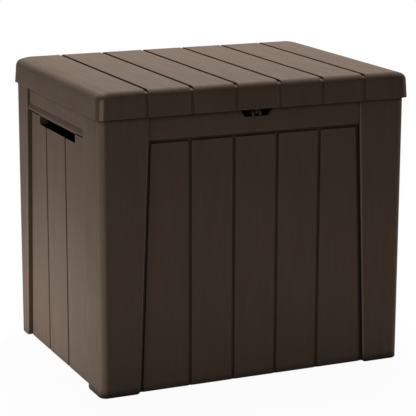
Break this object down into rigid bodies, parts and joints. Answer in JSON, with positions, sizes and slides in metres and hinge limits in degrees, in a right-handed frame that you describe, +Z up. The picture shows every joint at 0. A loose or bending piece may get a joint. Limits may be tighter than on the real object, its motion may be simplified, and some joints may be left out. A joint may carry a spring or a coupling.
{
  "type": "deck storage box",
  "caption": "Lidded moulded-resin deck storage box with planked walls, proud corner posts, side hand slots and a flaring planked lid hinged at the rear.",
  "frame": {"origin": "on the ground under the middle of the lid's outline", "axes": "+X to the right seen from the front, +Y to the rear hinge side, +Z up"},
  "size_m": [0.58, 0.4379, 0.5225],
  "materials": {
    "wall_resin": "moulded resin with faint wood grain",
    "post_resin": "moulded resin, fine matt grain",
    "lid_resin": "moulded resin with faint wood grain",
    "steel": "plain stainless steel"
  },
  "bodies": {
    "box": {"floor_panel": "wall_resin", "front_panel": "wall_resin", "back_panel": "wall_resin", "left_side_panel": "wall_resin", "right_side_panel": "wall_resin", "front_left_post": "post_resin", "front_right_post": "post_resin", "rear_left_post": "post_resin", "rear_right_post": "post_resin", "post_screws": "steel", "left_hinge_pin": "steel", "right_hinge_pin": "steel"},
    "lid": {"lid_cover": "lid_resin", "lid_liner": "wall_resin", "left_hinge_leaf": "wall_resin", "right_hinge_leaf": "wall_resin", "lock_tab": "wall_resin", "lid_screws": "steel"}
  },
  "joints": [
    {"name": "lid_hinge", "type": "hinge", "parent": "box", "child": "lid", "pos_m": [0, 0.2095, 0.4915], "axis": [-1, 0, 0], "range_deg": [0, 104]}
  ]
}
